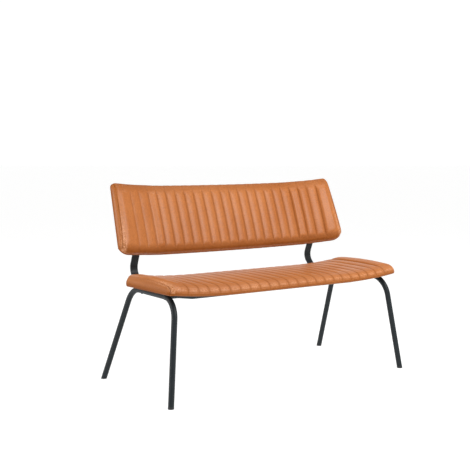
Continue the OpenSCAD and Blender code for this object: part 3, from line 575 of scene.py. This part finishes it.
def blownOut(pad, points, held):
    # cloth run: the skin is held along its seams and hems and blown out by the foam's pressure
    s = puffCloth
    rows, columns = points.shape[:2]
    piece = meshPiece(pad["name"] + "Blown", points, gridFaces(rows, columns), finishes["leather"])
    group = piece.vertex_groups.new(name="held")
    group.add(np.flatnonzero(held.ravel()).tolist(), 1.0, "REPLACE")
    cloth = piece.modifiers.new("puff", "CLOTH")
    cloth.settings.quality = s["quality"]
    cloth.settings.mass = s["mass"]
    cloth.settings.tension_stiffness = cloth.settings.compression_stiffness = s["tension"]
    cloth.settings.shear_stiffness = s["tension"] / 2
    cloth.settings.bending_stiffness = s["bending"]
    cloth.settings.use_pressure = True
    cloth.settings.uniform_pressure_force = s["pressure"]
    cloth.settings.vertex_group_mass = "held"
    cloth.settings.effector_weights.gravity = 0
    cloth.collision_settings.use_collision = False
    cloth.point_cache.frame_start, cloth.point_cache.frame_end = 1, s["frames"]
    for step in range(1, s["frames"] + 1):
        scene.frame_set(step)
    shaped = piece.evaluated_get(bpy.context.evaluated_depsgraph_get())
    where = np.empty(rows * columns * 3)
    shaped.data.vertices.foreach_get("co", where)
    mesh = piece.data
    bpy.data.objects.remove(piece)
    bpy.data.meshes.remove(mesh)
    scene.frame_set(1)
    shift = where.reshape(points.shape) - points
    size = np.linalg.norm(shift, axis=-1, keepdims=True)
    return shift * np.minimum(1, s["capMm"] * mm / np.maximum(size, 1e-9))


def ringCaps(first, outer, inner, flip):
    # closes the end of a C-shaped ring: each outer edge takes the inner point that lies across from it
    j = np.arange(outer - 1)
    near = np.rint(np.linspace(outer + inner - 1, outer, outer)).astype(int)
    fans = np.stack([first(j), first(j + 1), first(near[j])], -1)
    k = np.flatnonzero(near[:-1] != near[1:])
    steps = np.stack([first(k + 1), first(near[k + 1]), first(near[k])], -1)
    both = np.concatenate([fans, steps])
    return (both[:, ::-1] if flip else both).tolist()


# how the leather lies over both pads: runs, widths and depths in millimetres, the rest are shares
skinForm = dict(
    archPower=2.4, fieldRun=9, sidePuff=0.35, plainPuff=0.7, puffLimit=1.6, calmRun=12,
    fadeFrom=52, fadeRun=40, slackFrom=395, slackRun=20, looseDepth=0.85, bendAt=416, bendWidth=45,
    puckerPitch=12.5, puckerDepth=0.34, puckerAt=4.5, puckerWidth=3.5, threadPull=0.6,
    # the fold numbers give the painted shade at the seams: its width, its strength at the side and at the top,
    # and at the end seam
    endDip=0.9, endDipWidth=1.6, seamShadeWidth=4.5, seamShadeSide=0.13, seamShadeTop=0.29, endSeamShade=0.5, endShadeWidth=1.4,
    # the pale mark beside the end seam and along the front roll: partly wear, partly painted highlight
    ridgeAt=7, ridgeWidth=4, frontWider=3, rubFrom=40, rubRun=170, rollHighlightAt=15, rollHighlightWidth=9,
    clearance=5.7, shellGap=0.1, foamGap=0.3, insideShade=0.6,
)


def makePad(pad):
    # the pad's skin is its section carried along its bends, blown out between the seams,
    # with a dent, puckers and painted shade at each seam, and closed by an inside round the shell
    s = skinForm
    rows = sectionRows(pad)
    u = padColumns(pad)
    e = pad["halfLength"] - np.abs(u)
    y, b = sectionAt(pad, e, rows)
    flat = toRoom(pad, u[None], y, b)
    outward = gridNormals(flat)
    centre, middle = len(rows) // 2, len(u) // 2
    outward *= np.sign(outward[centre, middle] @ (flat[centre, middle] - flat[0, middle]))
    # distance to the nearest channel seam, and how much of a channel each row carries
    pitch = channels["pitch"]
    toSeam = np.mod(u + lastSeam, pitch)
    toSeam = np.minimum(toSeam, pitch - toSeam)
    toSeam = np.where(np.abs(u) > lastSeam, np.abs(u) - lastSeam, toSeam)
    plain = np.abs(u) > lastSeam + 0.1
    isTop = rows[:, 3] >= 1
    y0 = y[:, middle][:, None]
    down = rows[:, 3] * 0.5 + 0.5 * isTop
    arch = np.clip(1 - (1 - np.minimum(toSeam, pitch / 2) / (pitch / 2)) ** s["archPower"], 0, 1)
    # the channels fade out over the rear roll, and the left wing's seams are sewn more loosely
    rearward = np.clip((y0 - pad["halfWidth"] + s["fadeFrom"]) / s["fadeRun"], 0, 1)
    fading = 1 - pad["fade"] * rearward * isTop[:, None]
    slack = 1 - pad["slack"] * np.clip((-u - s["slackFrom"]) / s["slackRun"], 0, 1)[None]
    # held at the seams, at the four rows of each hem and at the end panels
    row = np.arange(len(rows))
    held = ((row < 4) | (row > len(rows) - 5))[:, None] | (toSeam < 0.1) | (e < pad["endSeam"] + 0.1)
    start = flat - outward * pad["seamDepth"] * mm
    shift = blownOut(pad, start, held)
    rise = (shift * outward).sum(-1)
    crest = np.median(rise[isTop][:, (toSeam > 20) & ~plain])
    print(pad["name"], "pad: crest rose", round(crest / mm, 2), "mm")
    gain = np.where(plain, s["plainPuff"], 1.0) * pad["puff"] * mm / max(crest, 1e-6)
    shift = shift * gain[None, :, None]
    size = np.linalg.norm(shift, axis=-1, keepdims=True)
    shift = shift * np.minimum(1, s["puffLimit"] * pad["puff"] * mm / np.maximum(size, 1e-9))
    # beyond the last seam the skin runs smoothly into the end panel, apart from where its seam is taut
    taut = seamPull(pad, y0)
    calm = np.where(plain[None], 1 - (1 - taut) * np.exp(-((e - pad["endSeam"]) / s["calmRun"]) ** 2)[None], 1)
    shift = shift * calm[..., None]
    # the thread pulls a narrow groove along each seam, with small puckers across it
    alongRow = runLength(flat[:, middle]) / mm
    pucker = np.sin(2 * pi * alongRow[:, None] / s["puckerPitch"] + 9 * softRandom(flat.shape[:2], (9, 60), 3))
    pucker = pucker * np.exp(-((toSeam - s["puckerAt"]) / s["puckerWidth"]) ** 2)[None]
    pucker = pucker * (0.4 + 0.6 * softRandom(flat.shape[:2], (12, 44), 5))
    endDip = np.exp(-((e - pad["endSeam"]) / s["endDipWidth"]) ** 2)
    pulled = s["threadPull"] * np.exp(-(toSeam / pad["seamWidth"]) ** 2)[None]
    dent = pad["seamDepth"] * down[:, None] + pulled * down[:, None]
    # where a seam is loose its channels rise less and its groove is that much shallower
    loose = fading * slack
    shift = shift * loose[..., None]
    dent = dent - (1 - loose) * pad["seamDepth"] * s["looseDepth"] * isTop[:, None]
    # the dent eases off over the plain field
    ease = np.clip((np.abs(u) - lastSeam) / (pad["halfLength"] - pad["endSeam"] - lastSeam), 0, 1)
    dent = np.where(plain[None], dent * (1 - ease[None] ** 0.7), dent)
    # foam fills the hollow side of a bend
    atBend = np.exp(-((np.abs(u) - s["bendAt"]) / s["bendWidth"]) ** 2)[None]
    dent = dent - pad["bridge"] * atBend * down[:, None]
    shape = flat + shift + outward * ((s["puckerDepth"] * pucker * isTop[:, None] - dent
                                       - s["endDip"] * endDip[None] * taut) * mm)[..., None]

    # the inside of the skin, round the plywood shell: rear hem, up its edge, across it, down, front hem
    inset = pad["leather"] + s["clearance"]
    under = -pad["thickness"] - s["shellGap"]
    over = -pad["thickness"] + pad["shell"] + s["foamGap"]
    inner = np.array([(pad["hem"], under), (pad["hem"] - 2, under), (inset + 2, under), (inset, under),
                      (inset, under + 2), (inset, over - 1.5), (inset, over), (inset + 2, over)])
    side = pad["halfWidth"] - drawnIn(pad["frontCorner"], e)[None]
    yIn = np.concatenate([side - inner[:, :1], -side + inner[::-1, :1]])
    bIn = np.concatenate([inner[:, 1:], inner[::-1, 1:]]) + 0 * yIn
    inside = toRoom(pad, u[None], yIn, bIn)
    points = np.concatenate([shape, inside])
    total, columns = points.shape[:2]
    faces = gridFaces(total, columns, closeRows=True).tolist()
    faces += ringCaps(lambda k: k * columns, len(rows), len(inside), False)
    faces += ringCaps(lambda k: k * columns + columns - 1, len(rows), len(inside), True)
    # the flat map runs on past the rear hem, by 5 mm for each row of the inside
    unrolled = np.concatenate([alongRow, alongRow[-1] + 5 * np.arange(1, len(inside) + 1)])
    uv = np.stack(np.broadcast_arrays(u[None] * mm, unrolled[:, None] * mm), -1)
    # painted shade: at the channel seams, over the faded stretch of the rear roll, and at the end seam
    atSeam = np.exp(-(toSeam / s["seamShadeWidth"]) ** 2)[None]
    atEnd = np.exp(-((e - pad["endSeam"]) / s["endShadeWidth"]) ** 2)[None]
    groove = atSeam * (s["seamShadeSide"] + s["seamShadeTop"] * down[:, None]) * fading * slack
    groove = np.maximum(groove, 1.1 * pad["fade"] * (1 - fading))
    groove = np.maximum(groove, s["endSeamShade"] * atEnd * taut)
    # painted shade on the roll's lower half and on the turn under it
    dark, near, far, below = pad["rollShade"]
    away = alongRow - alongRow[np.argmax(isTop)]
    rollShaded = dark * np.clip((far - away) / (far - near), 0, 1) * np.clip(0.4 + 0.6 * away / near, 0, 1)
    groove = np.maximum(groove, np.where(away < 0, below, rollShaded)[:, None])
    # the ridge beside the end seam is made pale, most of all near the front corner: partly wear, partly painted
    # highlight
    front = np.clip((s["rubFrom"] - y0) / s["rubRun"], 0, 1)
    rubbed = (0.15 + 0.85 * front) * (rows[:, 3] > 0.5)[:, None]
    ridgeWidth = s["ridgeWidth"] + s["frontWider"] * front
    wornAndLit = np.exp(-((e[None] - pad["endSeam"] - s["ridgeAt"]) / ridgeWidth) ** 2) * rubbed
    # painted highlight on the front roll, along the crests of its channels
    rollHighlight = np.exp(-((away - s["rollHighlightAt"]) / s["rollHighlightWidth"]) ** 2)[:, None] * np.clip(arch, 0.3, 1)[None]
    wornAndLit = np.maximum(wornAndLit, pad["rubAndHighlight"] * rollHighlight)
    blank = np.zeros(inside.shape[:2])
    piece = meshPiece(pad["name"] + "Pad", points, faces, finishes["leather"], uv,
                      groove=np.concatenate([groove, blank + s["insideShade"]]),
                      wear=np.concatenate([wornAndLit, blank]))
    facesOut(piece)
    finer = piece.modifiers.new("finer", "SUBSURF")
    finer.levels = finer.render_levels = 1
    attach(piece, "root")
    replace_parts(piece, *pad["replaces"])
    threaded = np.flatnonzero(isTop)[2:-2]
    return [(shape[threaded, k], outward[threaded, k]) for k in np.flatnonzero(toSeam < 0.01)]


# shares of the panel's half height where its rings lie, how it dips at the seam, and its painted shade and pale
# mark
endPanel = dict(
    rings=(0.0, 0.03, 0.08, 0.14, 0.21, 0.3, 0.41, 0.54, 0.69, 0.85, 0.97), lowerCount=42,
    rimDip=0.8, rimRun=1.0, rimShade=0.5, shade=0.08, lowShade=0.78, rubAndHighlight=0.8, rubAt=3.0, rubWidth=3.0,
)


def makeEndPanel(pad, side, name):
    # a puffed panel that closes the pad's end: rings that shrink inwards by d while they rise by
    # a cubic, from the seam's rim to a line along the middle
    s = endPanel
    rows = sectionRows(pad)[3:-3]
    rim = np.array([pad["endSeam"]])
    y0, b0 = (v[:, 0] for v in sectionAt(pad, rim, rows))
    y0, b0 = (np.concatenate([v, np.linspace(v[-1], v[0], s["lowerCount"])[1:-1]]) for v in (y0, b0))
    high, low = b0.max(), b0.min()
    centre, half = (high + low) / 2, (high - low) / 2
    d = np.array(s["rings"])[:, None] * half
    out = (pad["endSeam"] + pad["endSwell"]) * (1 - (1 - d / half) ** 3)
    reach = np.abs(y0).max()
    y = y0[None] * (1 - d / reach)
    b = centre + (b0[None] - centre) * (1 - d / half)
    u = side * (pad["halfLength"] - pad["endSeam"] + out)
    points = toRoom(pad, u + 0 * y, y, b)
    pull = seamPull(pad, y0)[None] * (b0 > centre)[None]
    rimDip = s["rimDip"] * np.exp(-(d / s["rimRun"]) ** 2) * pull
    middle = toRoom(pad, side * (pad["halfLength"] - pad["endSeam"]) + 0 * y[:1], y[:1] * 0.994,
                    centre + (b[:1] - centre) * 0.965)
    points = points * (1 - rimDip[..., None]) + rimDip[..., None] * middle
    rings, count = points.shape[:2]
    row = np.repeat(np.arange(rings - 1), count)[:, None]
    first = np.tile(np.arange(count), rings - 1)[:, None]
    after = (first + 1) % count
    quads = np.concatenate([row * count + first, row * count + after,
                            (row + 1) * count + after, (row + 1) * count + first], 1)
    faces = quads.tolist() + [list(range(count)), list(range((rings - 1) * count, rings * count))]
    uv = np.stack(np.broadcast_arrays(runLength(points[0])[None], d * mm * 1.3), -1)
    # painted shade at the seam and over the panel's lower half; its upper edge is pale near the front, partly
    # wear and partly painted highlight
    groove = np.maximum(s["rimShade"] * np.exp(-(d / s["rimRun"]) ** 2) * pull,
                        s["shade"] + s["lowShade"] * np.clip((centre - b) / half + 0.2, 0, 1))
    front = np.clip((skinForm["rubFrom"] - y0) / skinForm["rubRun"], 0, 1)[None]
    wear = s["rubAndHighlight"] * np.exp(-((d - s["rubAt"]) / s["rubWidth"]) ** 2) * (b0 > centre)[None] * front
    piece = meshPiece(name, points, faces, finishes["leather"], uv, groove=groove, wear=wear)
    facesOut(piece)
    finer = piece.modifiers.new("finer", "SUBSURF")
    finer.levels = finer.render_levels = 1
    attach(piece, "root")
    return piece


def slabPiece(name, outer, inner, material, smooth=True):
    # two grids back to back, joined round their rim
    rows, columns = outer.shape[:2]
    face = gridFaces(rows, columns)
    rim = np.concatenate([np.arange(columns), np.arange(2, rows + 1) * columns - 1,
                          (rows - 1) * columns + np.arange(columns - 2, -1, -1),
                          np.arange(rows - 2, 0, -1) * columns])
    after, count = np.roll(rim, -1), rows * columns
    side = np.stack([rim, after, after + count, rim + count], -1)
    piece = meshPiece(name, np.stack([outer, inner]), np.concatenate([face, face[:, ::-1] + count, side]),
                      material, smooth=smooth)
    facesOut(piece)
    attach(piece, "root")
    return piece


def innerGrid(pad, s, rows, columns):
    # u and y over a rounded rectangle inside the hems, and each point's distance from its edge:
    # both run as a sine, so that the grid is finer towards the edge
    high = pad["halfWidth"] - s["inset"]
    y = high * np.sin(np.linspace(-1, 1, rows) * pi / 2)[:, None]
    reach = pad["halfLength"] - s["inset"] - drawnIn(s["corner"], high - np.abs(y))
    u = reach * np.sin(np.linspace(-1, 1, columns) * pi / 2)[None]
    return u, y + 0 * u, np.minimum(high - np.abs(y), reach - np.abs(u))


endHem = dict(places=(5.0, 7, 10, 14, 18, 22, 25, 27.2, 28.0), rows=61, besideHem=0.4, gap=0.3, pleat=0.3,
              pleatFrom=6, pleatRun=8, edgeRound=0.7, edgeWidth=0.6, thick=1.8)


def makeEndHem(pad, side, name, s):
    # the end panel's leather, turned in under the shell, with faint pleats from the curve of the end:
    # its height is the shell's underside less the sag, drawn in towards the end and rounded at its edge
    e = np.array(s["places"])[None]
    high = pad["halfWidth"] - pad["hem"] - s["besideHem"]
    y = np.linspace(-high, high, s["rows"])[:, None]
    inwards = np.clip((e - s["pleatFrom"]) / s["pleatRun"], 0, 1)
    pleat = s["pleat"] * softRandom((s["rows"], e.size), (22, 2), 21) * inwards
    low = -pad["thickness"] - s["gap"] - pad["leather"] - sagAt(pad, e, (y / high + 1) / 2) + pleat
    edge = np.exp(-((s["places"][-1] - e) / s["edgeWidth"]) ** 2)
    low = low + drawnIn(pad["turnIn"], e) + s["edgeRound"] * edge
    u = side * (pad["halfLength"] - e)
    top = np.minimum(low + s["thick"], -pad["thickness"] - 0.1)
    piece = slabPiece(name, toRoom(pad, u, y, low), toRoom(pad, u, y, top), finishes["leather"])


rearPanel = dict(inset=28.8, corner=8, thick=1.8, gap=0.1, swell=2.2, uneven=0.5, edgeRun=24, supportRun=30,
                 edgeRound=0.8, supportU=487.9, supportHalf=17.5, supportFrom=-71.2, supportTo=28.8,
                 stitchIn=6, stitchCorner=3, stitchAt=-43.6, stitchStep=5.0)


def makeRearPanel(pad, s):
    # leather over the backrest's rear: it swells a little, and the two supports press it flat
    u, y, edge = innerGrid(pad, s, 61, 221)
    aside = np.maximum(np.abs(np.abs(u) - s["supportU"]) - s["supportHalf"], 0)
    beyond = np.maximum(np.maximum(y - s["supportTo"], s["supportFrom"] - y), 0)
    free = 1 - np.exp(-(edge / s["edgeRun"]) ** 2)
    free = free * (1 - np.exp(-(np.hypot(aside, beyond) / s["supportRun"]) ** 2))
    swell = free * (s["swell"] + s["uneven"] * softRandom(u.shape, (5, 26), 31))
    low = -pad["thickness"] - s["gap"] - s["thick"] - swell + s["edgeRound"] * np.exp(-(edge / 1.2) ** 2)
    # a shallow groove under the stitches
    low = low + 0.35 * np.exp(-((edge - s["stitchIn"]) / 1.6) ** 2)
    inner = toRoom(pad, u, y, -pad["thickness"] - s["gap"] + 0 * u)
    piece = slabPiece("backRearPanel", toRoom(pad, u, y, low), inner, finishes["leather"])
    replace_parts(piece, "back_rear_cover")


def hiddenSide(pad, u, y, b):
    # points on a pad's hidden side, and the way from each out of the pad
    spots = toRoom(pad, u, y, b + 0 * y)
    return spots, spots - toRoom(pad, u, y, b + 1 + 0 * y)


def outlineRun(pad, s):
    # a closed line of stitches round a rounded rectangle: four quarter circles and straight lines between
    reach, high = (pad[k] - s["inset"] - s["stitchIn"] for k in ("halfLength", "halfWidth"))
    r = s["stitchCorner"]
    quarter = np.linspace(0, pi / 2, 12)
    points = []
    for k, (sx, sy) in enumerate(((1, 1), (-1, 1), (-1, -1), (1, -1))):
        a = quarter + k * pi / 2
        points.append(np.stack([sx * (reach - r) + r * np.cos(a), sy * (high - r) + r * np.sin(a)], -1))
    line = np.concatenate([*points, points[0][:1]])
    away = runLength(line)
    at = np.arange(0, away[-1], s["stitchStep"])
    u, y = (np.interp(at, away, line[:, k]) for k in (0, 1))
    return hiddenSide(pad, u, y, s["stitchAt"])


dustCloth = dict(inset=28.8, corner=8, thick=0.5, gap=0.15, wave=0.12, waveRun=12)


def makeDustCloth(pad, s):
    # the lining under the seat: a sheet drawn tight between its staples, with faint waves
    u, y, edge = innerGrid(pad, s, 53, 241)
    wave = s["wave"] * softRandom(u.shape, (6, 60), 41) * np.clip(edge / s["waveRun"], 0, 1)
    low = -pad["thickness"] - s["gap"] - s["thick"] + wave
    piece = slabPiece("seatDustCloth", toRoom(pad, u, y, low), toRoom(pad, u, y, low + s["thick"]),
                      finishes["black_cloth"])
    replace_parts(piece, "seat_dust_cover")


stitches = dict(lengthMm=5.4, pitchMm=7.6, widthMm=1.0, sinkMm=0.45, loose=0.0)
staples = dict(
    lengthMm=10.5, pitchMm=38.0, widthMm=1.1, sinkMm=0.45, loose=0.12,
    lines=((185, -44.5), (171, -42.8)),  # on the leather's hem, then on the cloth: distance out, height
    # the rear lines leave out the two supports
    frontRuns=((-570, 570),), rearRuns=((-570, -523), (-470, 470), (523, 570)),
    endRun=155, step=4.0,
)


def stapleRuns(pad, s):
    # straight lines along the seat's front, rear and ends, for each line of staples
    runs = []
    for high, under in s["lines"]:
        for side, spans in ((-1, s["frontRuns"]), (1, s["rearRuns"])):
            for low, top in spans:
                at = np.arange(low, top, s["step"])
                runs.append(hiddenSide(pad, at, side * high + 0 * at, under))
            at = np.arange(-s["endRun"], s["endRun"], s["step"])
            ends = side * (pad["halfLength"] - pad["halfWidth"] + high) + 0 * at
            runs.append(hiddenSide(pad, ends, at, under))
    return runs


def makeDashes(name, runs, material, s):
    # short bars along lines: each is a five-sided spindle of three rings whose ends dip in
    half, thick = s["lengthMm"] * mm / 2, s["widthMm"] * mm / 2
    middles, ways, ups = [], [], []
    for points, outward in runs:
        along = runLength(points)
        at = np.arange(s["pitchMm"] * mm / 2, along[-1], s["pitchMm"] * mm)

        def follow(values, shift):
            return np.stack([np.interp(at + shift, along, values[:, k]) for k in range(3)], -1)

        middles.append(follow(points, 0))
        ways.append(follow(points, half / 2) - follow(points, -half / 2))
        ups.append(follow(outward, 0))
    middle, way, up = (np.concatenate(v) for v in (middles, ways, ups))
    up /= np.linalg.norm(up, axis=-1, keepdims=True)
    way = way / np.linalg.norm(way, axis=-1, keepdims=True)
    way = way + s["loose"] * dice.uniform(-1, 1, (len(way), 1)) * np.cross(up, way)
    way -= (way * up).sum(-1, keepdims=True) * up
    way /= np.linalg.norm(way, axis=-1, keepdims=True)
    across = np.cross(way, up)
    angle = (np.arange(5) * 2 * pi / 5)[None, None, :, None]
    place = np.array([-1, 0, 1.0])[None, :, None, None]
    size = thick * (1 - 0.5 * np.abs(place))
    lift = thick * 0.45 - s["sinkMm"] * mm * 1.6 * np.abs(place)
    points = (middle[:, None, None] + place * half * way[:, None, None] + lift * up[:, None, None]
              + size * (np.cos(angle) * across[:, None, None] + np.sin(angle) * up[:, None, None]))
    # two rows of five quads and two end caps for each bar, whose 15 points follow one another
    k, ring = np.arange(5), 5 * np.arange(2)[:, None]
    after = (k + 1) % 5
    bar = np.stack([k + ring, after + ring, after + ring + 5, k + ring + 5], -1).reshape(-1, 4)
    first = 15 * np.arange(len(points))[:, None, None]
    faces = (bar + first).reshape(-1, 4).tolist() + (np.stack([k, k + 10]) + first).reshape(-1, 5).tolist()
    piece = meshPiece(name, points, faces, material)
    facesOut(piece)
    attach(piece, "root")


# Centre lines of the steel in millimetres: the side frames' top runs and the rails that meet them.
# A rail rises towards the middle: an arc of 14 mm from 515.2 inwards, then a straight slope.
joints = dict(
    runX=571, runZ=430.01, runRadius=12.5, railY=(-162.5, 34.5), railZ=429.01, railRadius=12,
    riseFrom=515.2, riseArc=14, riseRadius=100, slopeFrom=501.3, slope=0.1405,
    supportX=497, supportHalf=17.5, supportLow=430.57, supportHigh=436.57,
    beadMm=1.9, rippleMm=2.4, ripple=0.11, proudMm=0.5, besideMm=0.6, sides=8,
)


def makeWelds(s):
    # each bead is a thin tube along its joint, whose radius swells with every ripple of the weld
    lines = []
    turn = np.linspace(0, 2 * pi, 161)[:-1]
    for side in (-1, 1):
        for y0 in s["railY"]:
            r = s["railRadius"] + s["proudMm"]
            y, z = y0 + r * np.cos(turn), s["railZ"] + r * np.sin(turn)
            x = s["runX"] - np.sqrt(np.maximum((s["runRadius"] + s["proudMm"]) ** 2 - (z - s["runZ"]) ** 2, 0))
            lines.append((np.stack([side * x, y, z], -1), True, (1, 0, 0)))
        for z in (s["supportLow"] - s["besideMm"], s["supportHigh"] + s["besideMm"]):
            x = s["supportX"] + np.linspace(-s["supportHalf"] + 1, s["supportHalf"] - 1, 64)
            rail = s["railZ"] - np.clip(s["riseFrom"] - x, 0, s["riseArc"]) ** 2 / (2 * s["riseRadius"])
            rail = rail - np.maximum(s["slopeFrom"] - x, 0) * s["slope"]
            y = s["railY"][1] + np.sqrt((s["railRadius"] + s["proudMm"]) ** 2 - (z - rail) ** 2)
            lines.append((np.stack([side * x, y, z + 0 * x], -1), False, (0, 0, 1)))
    points, faces, first = [], [], 0
    sides = s["sides"]
    k = np.arange(sides)
    ring = np.linspace(0, 2 * pi, sides + 1)[:-1]
    for line, closed, aside in lines:
        way = (np.roll(line, -1, 0) - np.roll(line, 1, 0)) if closed else np.gradient(line, axis=0)
        a = np.cross(way, aside)
        a /= np.linalg.norm(a, axis=-1, keepdims=True)
        b = np.cross(way, a)
        b /= np.linalg.norm(b, axis=-1, keepdims=True)
        run = np.arange(len(line)) * np.linalg.norm(way[5]) / (2 if closed else 1)
        ripples = max(round(run[-1] / s["rippleMm"]), 1)
        size = s["beadMm"] * (1 + s["ripple"] * np.cos(2 * pi * ripples * np.arange(len(line)) / len(line)))
        if not closed:  # an open bead thins out over its last 2 mm
            size = size * np.minimum(1, 0.35 + np.minimum(run, run[-1] - run) / 3)
        points.append(line[:, None] + size[:, None, None] * (np.cos(ring)[None, :, None] * a[:, None]
                                                            + np.sin(ring)[None, :, None] * b[:, None]))
        count = len(line)
        here = np.arange(count if closed else count - 1)[:, None]
        there, after = (here + 1) % count, (k + 1) % sides
        quads = np.stack([here * sides + k, here * sides + after, there * sides + after, there * sides + k], -1)
        faces += (first + quads.reshape(-1, 4)).tolist()
        if not closed:
            faces += [(first + k).tolist(), (first + (count - 1) * sides + k).tolist()]
        first += count * sides
    piece = meshPiece("weldBeads", np.concatenate(points) * mm, faces, finishes["coated_steel"])
    facesOut(piece)
    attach(piece, "root")


seamRuns = []
for padSettings in (seatPad, backPad):
    seamRuns += makePad(padSettings)
    for side, word in ((-1, "left"), (1, "right")):
        endName = padSettings["name"] + "EndPanel" + word.capitalize()
        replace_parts(makeEndPanel(padSettings, side, endName), padSettings["name"] + "_end_panel_" + word)
        makeEndHem(padSettings, side, padSettings["name"] + "EndHem" + word.capitalize(), endHem)
    print(padSettings["name"], "pad made")

makeRearPanel(backPad, rearPanel)
seamRuns.append(outlineRun(backPad, rearPanel))
makeDashes("seamStitches", seamRuns, thread, stitches)
makeDustCloth(seatPad, dustCloth)
makeDashes("seatStaples", stapleRuns(seatPad, staples), finishes["zinc_steel"], staples)
makeWelds(joints)
print("hidden sides, stitches and welds made")


print("all pieces made")
